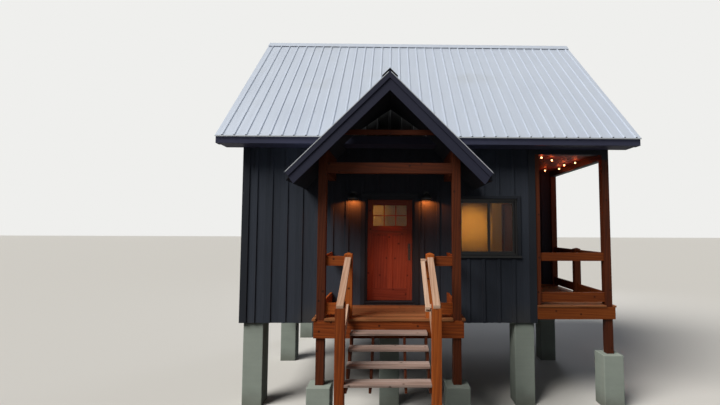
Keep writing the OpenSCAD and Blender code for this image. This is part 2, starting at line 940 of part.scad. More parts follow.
module pane(x0, x1, y) {
  z0 = floor_z + window_z0 + frame_w + sash_w;
  z1 = floor_z + window_z1 - frame_w - sash_w;
  box([x0 + sash_w, y + (sash_t - pane_t) / 2, z0], [x1 - sash_w, y + (sash_t + pane_t) / 2, z1]);
}

module window_frame() {
  y0 = front_y + 20;
  y1 = front_y + wall_t - 20;
  z0 = floor_z + window_z0;
  z1 = floor_z + window_z1;
  color(black) {
    difference() {
      box([window_x0, y0, z0], [window_x1, y1, z1]);
      box([window_x0 + frame_w, y0 - 1, z0 + frame_w], [window_x1 - frame_w, y1 + 1, z1 - frame_w]);
    }
    sash(window_x0 + frame_w, sash_x + sash_w / 2, outer_track);
    sash(sash_x - sash_w / 2, window_x1 - frame_w, inner_track);
    box([window_x0 - 60, front_y - 45, z0 - 40], [window_x1 + 60, front_y, z0]);
  }
}

module window_glass() {
  color(glass) {
    pane(window_x0 + frame_w, sash_x + sash_w / 2, outer_track);
    pane(sash_x - sash_w / 2, window_x1 - frame_w, inner_track);
  }
}

// Wall lamps beside the door: a back plate, an arm and an open bell-shaped shade
module wall_lamps() {
  reach = 130;
  color(black)
    for (side = [-1, 1])
      translate([entry_x + side * 730, front_y, floor_z + 2050]) {
        translate([0, 0, 110]) rotate([90, 0, 0]) cylinder(h = 12, d = 110, $fn = 48);
        translate([0, 0, 110]) rotate([90, 0, 0]) cylinder(h = reach, d = 20, $fn = 32);
        translate([0, -reach, 0])
          rotate_extrude($fn = 64)
            polygon([[0, 120], [30, 118], [70, 80], [115, 20], [115, 0], [108, 0], [108, 18],
                     [66, 72], [28, 108], [0, 110]]);
      }
}

concrete_piers();
floor_frame();
floor_joists();
floor_boards();
front_wall_left();
front_wall_right();
front_wall_header();
back_wall();
left_gable_wall();
right_gable_wall();
porch_side_wall();
porch_back_wall();
roof_structure();
front_roof_metal();
back_roof_metal();
ridge_cap();
eave_boards();
rake_boards();
corner_ceiling();
corner_beams();
corner_posts();
corner_deck();
entry_posts();
entry_beams();
entry_deck();
deck_rims();
deck_joists();
porch_rails();
entry_roof();
entry_roof_metal();
entry_ridge_cap();
barge_boards();
stair_stringers();
stair_treads();
stair_newels();
stair_handrails();
door_frame();
frame_hinges();
door_leaf();
door_glass();
door_hardware();
porch_door();
window_frame();
window_glass();
wall_lamps();
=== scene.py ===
# Gabled cabin with an entry porch, an open stair and a corner porch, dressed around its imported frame
import math
import random

import bmesh
import bpy
from mathutils import Matrix, Vector


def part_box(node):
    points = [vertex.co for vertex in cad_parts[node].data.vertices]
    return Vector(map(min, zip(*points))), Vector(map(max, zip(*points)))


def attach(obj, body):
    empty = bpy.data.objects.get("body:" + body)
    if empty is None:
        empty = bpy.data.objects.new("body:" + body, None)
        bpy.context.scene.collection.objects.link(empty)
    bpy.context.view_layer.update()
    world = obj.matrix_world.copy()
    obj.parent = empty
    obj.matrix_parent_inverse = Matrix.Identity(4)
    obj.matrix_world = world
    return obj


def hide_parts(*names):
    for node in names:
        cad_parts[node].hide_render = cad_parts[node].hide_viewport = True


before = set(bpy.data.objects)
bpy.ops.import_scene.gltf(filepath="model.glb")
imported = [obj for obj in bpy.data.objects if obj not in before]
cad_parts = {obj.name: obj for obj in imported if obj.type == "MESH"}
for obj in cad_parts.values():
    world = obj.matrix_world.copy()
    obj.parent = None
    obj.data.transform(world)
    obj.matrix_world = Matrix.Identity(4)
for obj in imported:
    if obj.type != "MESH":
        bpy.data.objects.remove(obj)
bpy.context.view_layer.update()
bpy.context.scene.view_settings.view_transform = "Standard"
print("frame loaded:", len(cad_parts), "nodes")


def lowSide(node):
    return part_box(node)[0]


def highSide(node):
    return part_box(node)[1]


def halfWidth(node):
    return (highSide(node).x - lowSide(node).x) / 2


def addObject(name, data):
    thing = bpy.data.objects.new(name, data)
    bpy.context.scene.collection.objects.link(thing)
    return thing


# Places that the rest is worked out from, read off the frame
floorTop = highSide("floor_boards").z
deckTop = highSide("entry_deck").z
frontFace = lowSide("front_wall_left").y
backFace = highSide("back_wall").y
leftFace = lowSide("left_gable_wall").x
rightFace = highSide("right_gable_wall").x
porchFace = highSide("porch_side_wall").x  # wall beside the corner porch
porchBack = lowSide("porch_back_wall").y  # wall behind the corner porch
ceilingLow = lowSide("corner_ceiling").z
skirtLow = lowSide("front_wall_left").z
soffitLow = lowSide("eave_boards").z
gableTop = highSide("left_gable_wall").z
wallThick = highSide("front_wall_header").y - frontFace
ridgeY = (frontFace + backFace) / 2
entryMid = (lowSide("entry_deck").x + highSide("entry_deck").x) / 2
entryPeak = highSide("entry_roof").z
entryHalf = halfWidth("entry_roof")
gableFront = lowSide("barge_boards").y
shadeRadius = 0.115  # bell shades of the wall lamps
lampReach = halfWidth("wall_lamps") - shadeRadius
hiddenDepth = 0.03  # the entry roof hides what is this far below its slopes
diagonal = math.sqrt(0.5)  # run, or rise, of one metre up a roof


# The photograph's view: the eye from the front wall and the floor, its turns, its frame in pixels
view = dict(eyeX=-0.708, eyeBack=8.355, eyeUp=1.453, pitch=0.0643, roll=-0.0036, yaw=0.0164,
            focalPixels=414.7, frameWidth=720, opticalX=399.5, sensor=36.0, farEnd=200)


def makeCamera():
    data = bpy.data.cameras.new("camera")
    data.sensor_width = view["sensor"]
    data.lens = view["sensor"] * view["focalPixels"] / view["frameWidth"]
    data.shift_x = (view["frameWidth"] / 2 - view["opticalX"]) / view["frameWidth"]
    data.clip_end = view["farEnd"]
    camera = addObject("camera", data)
    camera.location = (view["eyeX"], frontFace - view["eyeBack"], floorTop + view["eyeUp"])
    camera.rotation_euler = (math.pi / 2 + view["pitch"], view["roll"], -view["yaw"])
    bpy.context.scene.camera = camera


# Wraps a node's output, so that shader maths reads as arithmetic
class Wire:
    def __init__(self, nodes, socket):
        self.nodes = nodes
        self.socket = socket

    def maths(self, operation, first, second=0.0):
        return self.nodes.add("ShaderNodeMath", {0: first, 1: second}, operation=operation)

    def __add__(self, other):
        return self.maths("ADD", self, other)

    def __sub__(self, other):
        return self.maths("SUBTRACT", self, other)

    def __rsub__(self, other):
        return self.maths("SUBTRACT", other, self)

    def __mul__(self, other):
        return self.maths("MULTIPLY", self, other)

    def __truediv__(self, other):
        return self.maths("DIVIDE", self, other)

    def __gt__(self, other):
        return self.maths("GREATER_THAN", self, other)

    def __lt__(self, other):
        return self.maths("LESS_THAN", self, other)

    __radd__ = __add__
    __rmul__ = __mul__

    def floor(self):
        return self.maths("FLOOR", self)

    def smooth(self, low, high):  # 0 below low, 1 above high
        return self.nodes.add("ShaderNodeMapRange", {"Value": self, "From Min": low, "From Max": high},
                              interpolation_type="SMOOTHSTEP")

    def size(self):
        return self.maths("ABSOLUTE", self)

    def part(self, axis):  # one axis of a vector: 0, 1 or 2
        return self.nodes.add("ShaderNodeSeparateXYZ", {0: self}, axis)


# A node tree that nodes are added to by type, settings and sockets
class Nodes:
    def __init__(self, tree):
        self.tree = tree

    def add(self, kind, sockets=None, output=0, **settings):
        node = self.tree.nodes.new(kind)
        for name, value in settings.items():
            if name == "stops":
                self.fillRamp(node.color_ramp, value)
            else:
                setattr(node, name, value)
        for name, value in (sockets or {}).items():
            if isinstance(value, Wire):
                self.tree.links.new(value.socket, node.inputs[name])
            elif isinstance(value, str) and node.inputs[name].type == "RGBA":
                node.inputs[name].default_value = rgba(value)
            else:
                node.inputs[name].default_value = value
        return Wire(self, node.outputs[output]) if len(node.outputs) else node

    def fillRamp(self, ramp, stops):
        while len(ramp.elements) < len(stops):
            ramp.elements.new(0.5)
        for element, (place, text) in zip(ramp.elements, stops):
            element.position = place
            element.color = rgba(text)

    def place(self):  # Object coordinates
        return self.add("ShaderNodeTexCoord", output=3)

    def scaled(self, vector, amounts):
        return self.add("ShaderNodeVectorMath", {0: vector, 1: amounts}, operation="MULTIPLY")

    def moved(self, vector, amounts):
        return self.add("ShaderNodeVectorMath", {0: vector, 1: amounts}, operation="ADD")

    def joined(self, x, y, z):
        return self.add("ShaderNodeCombineXYZ", {0: x, 1: y, 2: z})

    def attribute(self, name, output):  # in a material: 1 a vector, 2 a number
        return self.add("ShaderNodeAttribute", output=output, attribute_name=name)

    def stored(self, name, kind):  # in a geometry tree
        return self.add("GeometryNodeInputNamedAttribute", {"Name": name}, data_type=kind)

    def noise(self, vector, scale, detail=4.0, distortion=0.0):
        return self.add("ShaderNodeTexNoise", {
            "Vector": vector, "Scale": scale, "Detail": detail, "Distortion": distortion})

    def ramp(self, amount, stops):
        return self.add("ShaderNodeValToRGB", {0: amount}, stops=stops)

    def blend(self, amount, first, second):  # colours: wires, or texts as rgba reads them
        return self.add("ShaderNodeMix", {0: amount, 6: first, 7: second}, 2, data_type="RGBA")

    def bump(self, height, distance):
        return self.add("ShaderNodeBump", {"Height": height, "Strength": 1.0, "Distance": distance})

    def surface(self, **sockets):  # main shader and output; an underscore stands for a blank
        named = {name.replace("_", " "): value for name, value in sockets.items()}
        shader = self.add("ShaderNodeBsdfPrincipled", named)
        self.add("ShaderNodeOutputMaterial", {"Surface": shader})


# A colour written as it looks, as the linear one that Blender wants
def rgba(text):
    parts = [int(text[i:i + 2], 16) / 255 for i in (0, 2, 4)]
    return (*[c / 12.92 if c < 0.04045 else ((c + 0.055) / 1.055) ** 2.4 for c in parts], 1.0)


def newMaterial(name):
    material = bpy.data.materials.new(name)
    material.use_nodes = True
    material.node_tree.nodes.clear()
    return material, Nodes(material.node_tree)


# Woods: the grain runs along the first axis of each board's own grain attribute
woodGrain = dict(fibre=(1.6, 55.0, 55.0), waver=(1.2, 4.0, 4.0), rings=(0.05, 1.0, 1.0), ringScale=11.0,
                 ringWobble=5.0, fibreShare=0.45, ringShare=0.22, waverShare=0.33, toneSpread=0.3,
                 tonesAt=(0.1, 0.4, 0.62, 0.9), knotGap=2.4, knotSize=0.055, knotDark=0.85, rough=0.6,
                 relief=0.0012, shine=0.15)
woodLooks = dict(
    # cedar is blended toward its knot colour near the corner porch: painted shade
    cedar=dict(tones=("4D210C", "823E1A", "A15322", "BE6B30"), knot="240E06", toneSpread=0.35, paintedShade=0.5,
               paintedShadeFrom=0.5, paintedShadeTo=0.1),
    # a darker copy of cedar: painted shade for the posts, beams, joists, stringers and corner ceiling
    cedarPaintedShade=dict(tones=("2A1108", "472010", "5B2B16", "703C1F"), knot="1C0B05"),
    railWood=dict(tones=("8E6852", "B8957E", "CCAD97", "DEC5B2"), knot="6A3E22"),
    treadWood=dict(tones=("6E5B53", "937F76", "AB968E", "C1ADA6"), knot="45342A", rough=0.7,
                   relief=0.0015),
    deckWood=dict(tones=("54301C", "7B4C2E", "925E3A", "A8744C"), knot="321A0C", toneSpread=0.35,
                  rough=0.65, relief=0.0015),
    doorWood=dict(tones=("562216", "793526", "8D422E", "9E5138"), knot="3A120A", toneSpread=0.2,
                  rough=0.45, relief=0.0006),
    lumber=dict(tones=("6C5034", "8E6F4A", "A2835A", "B6986E"), knot="4E341C", rough=0.75, relief=0.001),
    floorWood=dict(tones=("6E4524", "925F34", "A67340", "B88752"), knot="48280F", toneSpread=0.35,
                   rough=0.45, relief=0.0005))


def woodMaterial(name, look):
    material, nodes = newMaterial(name)
    g = dict(woodGrain, **look)
    grain = nodes.attribute("grain", 1)
    tone = nodes.attribute("tone", 2)
    fibre = nodes.noise(nodes.scaled(grain, g["fibre"]), 1.0, 6.0, 0.5)
    waver = nodes.noise(nodes.scaled(grain, g["waver"]), 1.0, 3.0)
    rings = nodes.add("ShaderNodeTexWave", {
        "Vector": nodes.scaled(grain, g["rings"]), "Scale": g["ringScale"], "Distortion": g["ringWobble"],
        "Detail": 3.0, "Detail Scale": 1.2}, 1, bands_direction="DIAGONAL", wave_profile="SAW")
    flat = nodes.joined(grain.part(0), grain.part(1) + grain.part(2), 0.0)
    knots = nodes.add("ShaderNodeTexVoronoi", {"Vector": flat, "Scale": g["knotGap"]},
                      voronoi_dimensions="2D")
    knot = 1.0 - (knots + fibre * 0.02).smooth(g["knotSize"] * 0.5, g["knotSize"] * 1.5)
    amount = fibre * g["fibreShare"] + rings * g["ringShare"] + waver * g["waverShare"]
    amount = amount + (tone - 0.5) * g["toneSpread"]
    shade = nodes.ramp(amount, list(zip(g["tonesAt"], g["tones"])))
    shade = nodes.blend(knot * g["knotDark"], shade, g["knot"])
    if "paintedShade" in g:  # painted shade, deeper toward the corner porch
        aside = nodes.place().part(0).smooth(porchFace - g["paintedShadeFrom"], porchFace - g["paintedShadeTo"])
        shade = nodes.blend(aside * g["paintedShade"], shade, g["knot"])
    nodes.surface(Base_Color=shade, Roughness=fibre * 0.25 + (g["rough"] - 0.12),
                  Specular_IOR_Level=g["shine"],
                  Normal=nodes.bump(fibre * 0.7 + rings * 0.3 - knot * 0.4, g["relief"]))
    return material


# Charcoal siding outside and warm plaster inside: the walls' own places tell the two apart
sidingLook = dict(paint="464C58", paintDark="2F333A", dust="57534B", inside="C6AC7C", insideDark="AE925F",
                  boardPitch=0.3048, dustRise=0.5, rough=0.7, relief=0.0012, shine=0.05)


def sidingMaterial(name, withInside=True):
    material, nodes = newMaterial(name)
    place = nodes.place()
    x, y, z = place.part(0), place.part(1), place.part(2)
    fibre = nodes.noise(nodes.scaled(place, (60.0, 60.0, 2.2)), 1.0, 5.0, 0.4)
    blotch = nodes.noise(place, 0.9, 4.0)
    board = nodes.add("ShaderNodeTexWhiteNoise", {"W": ((x + y) / sidingLook["boardPitch"]).floor()},
                      noise_dimensions="1D")
    shade = nodes.blend(fibre * 0.6 + board * 0.2 + blotch * 0.2, sidingLook["paintDark"],
                        sidingLook["paint"])
    dust = (1.0 - z.smooth(skirtLow, skirtLow + sidingLook["dustRise"])) * blotch.smooth(0.4, 0.7) * 0.35
    shade = nodes.blend(dust, shade, sidingLook["dust"])
    relief = fibre
    if withInside:
        edge = 0.003  # the faces toward the room belong to it
        deep = wallThick - edge
        room = (x > leftFace + deep) * (x < rightFace - deep) * (z > floorTop - edge)
        room = room * (y > frontFace + deep) * (y < backFace - deep)
        room = room * (1.0 - (x > porchFace - deep) * (y < porchBack + deep))
        plaster = nodes.blend(nodes.noise(place, 3.0), sidingLook["insideDark"], sidingLook["inside"])
        shade = nodes.blend(room, shade, plaster)
        relief = relief * (1.0 - room)
    nodes.surface(Base_Color=shade, Roughness=fibre * 0.25 + (sidingLook["rough"] - 0.1),
                  Specular_IOR_Level=sidingLook["shine"], Normal=nodes.bump(relief, sidingLook["relief"]))
    return material


# Dark and pale paint of each trim
trimLook = dict(eaveTrim=("343647", "484B63"), bargeTrim=("272938", "383A4B"),
                casingTrim=("1F2227", "31353D"), rough=0.6, relief=0.0008, shine=0.1)


# Painted boards: brush marks follow each board's grain attribute
def trimMaterial(name):
    material, nodes = newMaterial(name)
    grain = nodes.attribute("grain", 1)
    fibre = nodes.noise(nodes.scaled(grain, (2.5, 70.0, 70.0)), 1.0, 5.0, 0.3)
    blotch = nodes.noise(grain, 1.6, 3.0)
    shade = nodes.blend(fibre * 0.6 + blotch * 0.4, *trimLook[name])
    nodes.surface(Base_Color=shade, Roughness=fibre * 0.2 + (trimLook["rough"] - 0.1),
                  Specular_IOR_Level=trimLook["shine"], Normal=nodes.bump(fibre, trimLook["relief"]))
    return material


# the near-black colour is painted shade on the sheet under the entry roof
roofLook = dict(sheet="CCD6E6", sheetDark="B1BBCC", stain="8F9088", paintedShadeUnderEntry="141517", metallic=0.25,
                rough=0.45)


# Sheet metal: the streaks run down the slope, and what the entry roof covers gets painted shade, near
# black
def roofMaterial(name, streak):
    material, nodes = newMaterial(name)
    place = nodes.place()
    streaks = nodes.noise(nodes.scaled(place, streak), 1.0, 5.0, 0.2)
    cloud = nodes.noise(place, 0.8, 4.0)
    spangle = nodes.add("ShaderNodeTexVoronoi", {"Vector": place, "Scale": 60.0}, 1)
    speck = nodes.add("ShaderNodeRGBToBW", {0: spangle})
    shade = nodes.blend(streaks * 0.5 + cloud * 0.5, roofLook["sheetDark"], roofLook["sheet"])
    shade = nodes.blend(cloud.smooth(0.55, 0.8) * streaks * 0.4, shade, roofLook["stain"])
    # painted shade: the sheet under the entry roof is made near black
    under = ((place.part(0) - entryMid).size() + place.part(2)) < entryPeak - hiddenDepth
    shade = nodes.blend(under * (place.part(1) < ridgeY), shade, roofLook["paintedShadeUnderEntry"])
    nodes.surface(Base_Color=shade, Metallic=roofLook["metallic"],
                  Roughness=speck * 0.12 + streaks * 0.1 + (roofLook["rough"] - 0.1),
                  Normal=nodes.bump(cloud + streaks * 0.2, 0.004))
    return material


concreteLook = dict(pale="AAB5AC", grey="89938C", damp="5E5D52", pore="5C5B54", rough=0.9, shine=0.3)


def concreteMaterial(name):
    material, nodes = newMaterial(name)
    place = nodes.place()
    cloud = nodes.noise(place, 2.2, 6.0, 0.4)
    sand = nodes.noise(place, 90.0, 3.0)
    form = nodes.noise(nodes.scaled(place, (1.0, 1.0, 14.0)), 1.0, 2.0)
    pores = nodes.add("ShaderNodeTexVoronoi", {"Vector": place, "Scale": 34.0})
    pore = 1.0 - pores.smooth(0.06, 0.14)
    shade = nodes.blend(cloud * 0.7 + form * 0.3, concreteLook["grey"], concreteLook["pale"])
    shade = nodes.blend(pore * 0.7, shade, concreteLook["pore"])
    damp = (1.0 - (place.part(2) + cloud * 0.3).smooth(0.1, 0.55)) * 0.55
    shade = nodes.blend(damp, shade, concreteLook["damp"])
    nodes.surface(Base_Color=shade, Roughness=concreteLook["rough"] - damp * 0.3 - sand * 0.1,
                  Specular_IOR_Level=concreteLook["shine"],
                  Normal=nodes.bump(sand * 0.25 + cloud * 0.4 - pore * 0.5 + form * 0.2, 0.004))
    return material


def metalMaterial(name, dark, pale, rough, metallic):
    material, nodes = newMaterial(name)
    grit = nodes.noise(nodes.place(), 40.0, 4.0)
    nodes.surface(Base_Color=nodes.blend(grit, dark, pale), Metallic=metallic,
                  Roughness=grit * 0.2 + (rough - 0.1), Normal=nodes.bump(grit, 0.0003))
    return material


glassLook = dict(tint="20282B", alpha=0.32, rough=0.03)


def glassMaterial(name):
    material, nodes = newMaterial(name)
    smear = nodes.noise(nodes.place(), 6.0, 3.0)
    nodes.surface(Base_Color=glassLook["tint"], Alpha=glassLook["alpha"], IOR=1.5,
                  Roughness=smear * 0.03 + glassLook["rough"])
    return material


def glowMaterial(name, colour, strength):
    material, nodes = newMaterial(name)
    nodes.surface(Base_Color=colour, Emission_Color=colour, Emission_Strength=strength, Roughness=0.3)
    return material


woods = {name: woodMaterial(name, look) for name, look in woodLooks.items()}
siding = sidingMaterial("siding")
battenPaint = sidingMaterial("battenPaint", False)
eaveTrim = trimMaterial("eaveTrim")
bargeTrim = trimMaterial("bargeTrim")
casingTrim = trimMaterial("casingTrim")
mainSheet = roofMaterial("mainSheet", (14.0, 0.7, 0.7))
entrySheet = roofMaterial("entrySheet", (0.7, 14.0, 0.7))
concrete = concreteMaterial("concrete")
blackSteel = metalMaterial("blackSteel", "121314", "202123", 0.5, 0.5)
edgeSteel = metalMaterial("edgeSteel", "9EA3A9", "B9BEC4", 0.4, 0.5)
glass = glassMaterial("glass")
bulbGlow = glowMaterial("bulbGlow", "FFC98A", 4.0)
print("materials made")


def rideAs(piece, body="cabin"):
    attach(piece, body)


def standFor(piece, node, body="cabin"):
    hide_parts(node)
    rideAs(piece, body)


grainShift = 20.0  # metres that a board's grain is shifted by, at most


# Gives each face a grain that runs along its longest edge, shifted at random for each loose piece
def grainMesh(mesh, seed):
    chance = random.Random(seed)
    shape = bmesh.new()
    shape.from_mesh(mesh)
    grain = shape.loops.layers.float_vector.new("grain")
    tone = shape.loops.layers.float.new("tone")
    shape.faces.ensure_lookup_table()
    waiting = set(range(len(shape.faces)))
    for first in range(len(shape.faces)):
        if first not in waiting:
            continue
        waiting.remove(first)
        stack = [shape.faces[first]]
        offset = Vector([chance.uniform(-grainShift, grainShift) for axis in range(3)])
        shift = chance.random()
        while stack:
            face = stack.pop()
            edge = max(face.edges, key=lambda e: e.calc_length())
            along = (edge.verts[1].co - edge.verts[0].co).normalized()
            across = face.normal.cross(along)
            for loop in face.loops:
                spot = loop.vert.co
                loop[grain] = offset + Vector((spot.dot(along), spot.dot(across), spot.dot(face.normal)))
                loop[tone] = shift
            for edge in face.edges:
                for other in edge.link_faces:
                    if other.index in waiting:
                        waiting.remove(other.index)
                        stack.append(other)
    shape.to_mesh(mesh)
    shape.free()


sharpAngle = 0.35  # radians between two faces whose edge is rounded
flatAngle = 0.01  # and between two that count as one
near = 0.001  # metres between two places that count as one


# Rounds the sharp edges of a merged mesh, then gives it its grain and material
def finishWood(mesh, shape, material, ease, seed):
    if ease:
        sharp = [e for e in shape.edges if len(e.link_faces) == 2 and e.calc_face_angle(0) > sharpAngle]
        bmesh.ops.bevel(shape, geom=sharp, offset=ease, offset_type="OFFSET", segments=2, profile=0.6,
                        affect="EDGES", clamp_overlap=True)
    shape.to_mesh(mesh)
    shape.free()
    grainMesh(mesh, seed)
    mesh.materials.clear()
    mesh.materials.append(material)


# Stands for a CAD node: the same shape with eased edges and a grain
def dressNode(node, material, ease):
    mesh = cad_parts[node].data.copy()
    shape = bmesh.new()
    shape.from_mesh(mesh)
    bmesh.ops.remove_doubles(shape, verts=shape.verts, dist=near / 100)
    bmesh.ops.dissolve_limit(shape, angle_limit=flatAngle, verts=shape.verts, edges=shape.edges)
    finishWood(mesh, shape, material, ease, len(node))
    standFor(addObject(node + ".dressed", mesh), node)


# A box between two corners
def addBox(shape, low, high):
    for vert in bmesh.ops.create_cube(shape, size=1.0)["verts"]:
        vert.co = Vector([a + (c + 0.5) * (b - a) for a, b, c in zip(low, high, vert.co)])


# Boards given by their two corners
def boxBoards(name, boxes, material, ease, seed):
    mesh = bpy.data.meshes.new(name)
    shape = bmesh.new()
    for low, high in boxes:
        addBox(shape, low, high)
    finishWood(mesh, shape, material, ease, seed)
    return addObject(name, mesh)


# A CAD node that keeps its own mesh gets a better material
def paintNode(node, material):
    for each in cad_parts[node].material_slots:
        each.material = material


# A Geometry Nodes tree: its nodes, and wires from its points, its material and its other inputs
def newTree(name, **inputs):
    inputs = dict(Geometry="Geometry", Material="Material", **inputs)
    tree = bpy.data.node_groups.new(name, "GeometryNodeTree")
    for label, kind in inputs.items():
        tree.interface.new_socket(name=label, in_out="INPUT", socket_type="NodeSocket" + kind)
    tree.interface.new_socket(name="Geometry", in_out="OUTPUT", socket_type="NodeSocketGeometry")
    given = tree.nodes.new("NodeGroupInput")
    nodes = Nodes(tree)
    return nodes, [Wire(nodes, given.outputs[label]) for label in inputs]


# One copy on each point, turned as the point says and made real
def onPoints(nodes, points, copied, scale):
    turn = nodes.add("FunctionNodeEulerToRotation", {0: nodes.stored("boardTurn", "FLOAT_VECTOR")})
    placed = nodes.add("GeometryNodeInstanceOnPoints", {
        "Points": points, "Instance": copied, "Rotation": turn, "Scale": scale})
    return nodes.add("GeometryNodeRealizeInstances", {"Geometry": placed})


def endTree(nodes, geometry, material):
    painted = nodes.add("GeometryNodeSetMaterial", {"Geometry": geometry, "Material": material})
    nodes.add("NodeGroupOutput", {0: painted})
    return nodes.tree


# Boards by Geometry Nodes: one board from each point, along the point's own direction
def boardTree():
    nodes, (points, material, width, thickness, seed) = newTree(
        "boardLayout", Width="Float", Thickness="Float", Seed="Int")

    def store(geometry, name, kind, value):
        return nodes.add("GeometryNodeStoreNamedAttribute", {
            "Geometry": geometry, "Name": name, "Value": value}, data_type=kind)

    board = nodes.add("GeometryNodeMeshCube", {"Size": nodes.joined(1.0, width, thickness)})
    board = nodes.add("GeometryNodeTransform", {"Geometry": board, "Translation": (0.5, 0.0, 0.0)})
    board = store(board, "grain", "FLOAT_VECTOR", nodes.add("GeometryNodeInputPosition"))
    length = nodes.stored("boardLength", "FLOAT")
    points = store(points, "boardOrder", "INT", nodes.add("GeometryNodeInputIndex"))
    real = onPoints(nodes, points, board, nodes.joined(length, 1.0, 1.0))
    which = nodes.stored("boardOrder", "INT")
    chance = nodes.add("FunctionNodeRandomValue", {
        0: (-grainShift,) * 3, 1: (grainShift,) * 3, "ID": which, "Seed": seed}, data_type="FLOAT_VECTOR")
    stretched = nodes.scaled(nodes.stored("grain", "FLOAT_VECTOR"), nodes.joined(length, 1.0, 1.0))
    real = store(real, "grain", "FLOAT_VECTOR", nodes.moved(stretched, chance))
    tone = nodes.add("FunctionNodeRandomValue", {2: 0.0, 3: 1.0, "ID": which, "Seed": seed}, 1,
                     data_type="FLOAT")
    real = store(real, "tone", "FLOAT", tone)
    return endTree(nodes, real, material)


boardLayout = boardTree()


# Sets a tree's named inputs on a modifier before it is first evaluated
def addTree(thing, tree, values):
    modifier = thing.modifiers.new(tree.name, "NODES")
    modifier.node_group = tree
    for item in tree.interface.items_tree:
        if item.in_out == "INPUT" and item.name in values:
            modifier[item.identifier] = values[item.name]


# What the modifiers make, as a plain mesh in a new object
def bake(thing, name):
    evaluated = thing.evaluated_get(bpy.context.evaluated_depsgraph_get())
    mesh = bpy.data.meshes.new_from_object(evaluated)
    bpy.data.objects.remove(thing)
    return addObject(name, mesh)


# Points that carry a length and a turn: rows are (start, length, turn)
def addPoints(name, rows):
    mesh = bpy.data.meshes.new(name)
    mesh.from_pydata([tuple(start) for start, length, turn in rows], [], [])
    lengths = mesh.attributes.new("boardLength", "FLOAT", "POINT")
    turns = mesh.attributes.new("boardTurn", "FLOAT_VECTOR", "POINT")
    for i, (start, length, turn) in enumerate(rows):
        lengths.data[i].value = length
        turns.data[i].vector = turn
    return addObject(name + ".points", mesh)


# Each board starts at the middle of its end
def layBoards(name, rows, width, thickness, material, seed, ease=0.003):
    thing = addPoints(name, rows)
    addTree(thing, boardLayout, dict(Width=width, Thickness=thickness, Seed=seed, Material=material))
    bevel = thing.modifiers.new("easedEdges", "BEVEL")
    bevel.width = ease
    bevel.limit_method = "ANGLE"
    return bake(thing, name)


# Turn of a board whose length runs along one direction and whose width runs along another
def turnOf(along, across):
    along, across = Vector(along).normalized(), Vector(across).normalized()
    return tuple(Matrix((along, across, along.cross(across))).transposed().to_euler())


upX = turnOf((0, 0, 1), (1, 0, 0))  # upright, its width along X
upY = turnOf((0, 0, 1), (0, 1, 0))  # upright, its width along Y
alongX = turnOf((1, 0, 0), (0, 1, 0))  # lies along X
alongY = turnOf((0, 1, 0), (1, 0, 0))  # lies along Y
edgeX = turnOf((1, 0, 0), (0, 0, 1))  # along X, its width upright


battens = dict(width=0.064, thickness=0.019, pitch=0.3048, first=0.252, shortest=0.06, gap=0.004,
               clear=0.01, lastRoom=0.05, cornerRoom=0.1, postRoom=0.2, entryAside=0.05,
               entryRoofTall=0.15, railWide=0.04, lampPlate=0.12)
casing = dict(door=0.089, window=0.060, corner=0.140, thickness=0.022, clear=0.002)
windowSill = dict(reach=0.060, height=0.040)


# The stretches of an upright batten that nothing covers: each cover is (from, to, low, high)
def clearRuns(at, low, high, covers):
    half = battens["width"] / 2
    runs = [(low, high)]
    for start, end, bottom, top in covers:
        if start - half < at < end + half:
            kept = []
            for a, b in runs:
                if a < bottom:
                    kept.append((a, min(b, bottom - battens["gap"])))
                if b > top:
                    kept.append((max(a, top + battens["gap"]), b))
            runs = kept
    return [(a, b) for a, b in runs if b - a > battens["shortest"]]


# A node's extent along an axis and in height, grown on each side
def coverOf(node, axis, grow):
    low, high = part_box(node)
    return (low[axis] - grow, high[axis] + grow, low.z - grow, high.z + grow)


def underGable(at):  # top of a batten under the main roof's slope
    return gableTop - abs(at - ridgeY) - battens["width"] / 2 - battens["gap"]


def underEntry(at):  # top of a batten under the eave or the entry roof
    reach = abs(at - entryMid)
    if reach > entryHalf + battens["entryAside"]:
        return soffitLow
    slope = entryPeak - battens["entryRoofTall"] - reach
    return min(soffitLow, slope - battens["width"] / 2 - battens["clear"])


def makeBattens():
    rows = []
    clear, last = battens["clear"], battens["lastRoom"]
    corner, post = battens["cornerRoom"], battens["postRoom"]

    def wall(axis, face, outward, start, end, low, top, covers):
        at = start + battens["first"]
        while at < end - last:
            for a, b in clearRuns(at, low, top(at), covers):
                spot = [0, 0, a]
                spot[axis] = at
                spot[1 - axis] = face + outward * battens["thickness"] / 2
                rows.append((spot, b - a, upX if axis == 0 else upY))
            at += battens["pitch"]

    low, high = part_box("entry_posts")
    thick = high.y - low.y
    covers = [coverOf("door_frame", 0, casing["door"]), coverOf("window_frame", 0, clear),
              (lowSide("deck_rims").x - clear, highSide("entry_deck").x + clear, 0.0, deckTop)]
    for a, b in ((low.x, low.x + thick), (high.x - thick, high.x)):
        covers.append((a, b, lowSide("entry_beams").z, entryPeak))
        middle, half = (a + b) / 2, battens["railWide"] / 2
        covers.append((middle - half, middle + half, deckTop, highSide("porch_rails").z))
    plate, plateTop = battens["lampPlate"], highSide("wall_lamps").z
    for side in (-1, 1):
        x = entryMid + side * lampReach
        covers.append((x - plate / 2, x + plate / 2, plateTop - plate, plateTop + clear))
    wall(0, frontFace, -1, leftFace, porchFace - post, skirtLow, underEntry, covers)
    wall(0, backFace, 1, leftFace, rightFace - corner, skirtLow, lambda at: soffitLow, [])
    wall(1, leftFace, -1, frontFace, backFace - corner, skirtLow, underGable, [])
    wall(1, rightFace, 1, porchBack, backFace - corner, skirtLow, underGable, [])
    wall(1, rightFace, 1, frontFace, porchBack, highSide("corner_beams").z + clear, underGable, [])
    wall(1, porchFace, 1, frontFace, porchBack - last, deckTop, lambda at: ceilingLow,
         [coverOf("porch_door", 1, casing["door"])])
    wall(0, porchBack, -1, porchFace, rightFace - post, deckTop, lambda at: ceilingLow, [])
    return layBoards("battens", rows, battens["width"], battens["thickness"], battenPaint, 11)


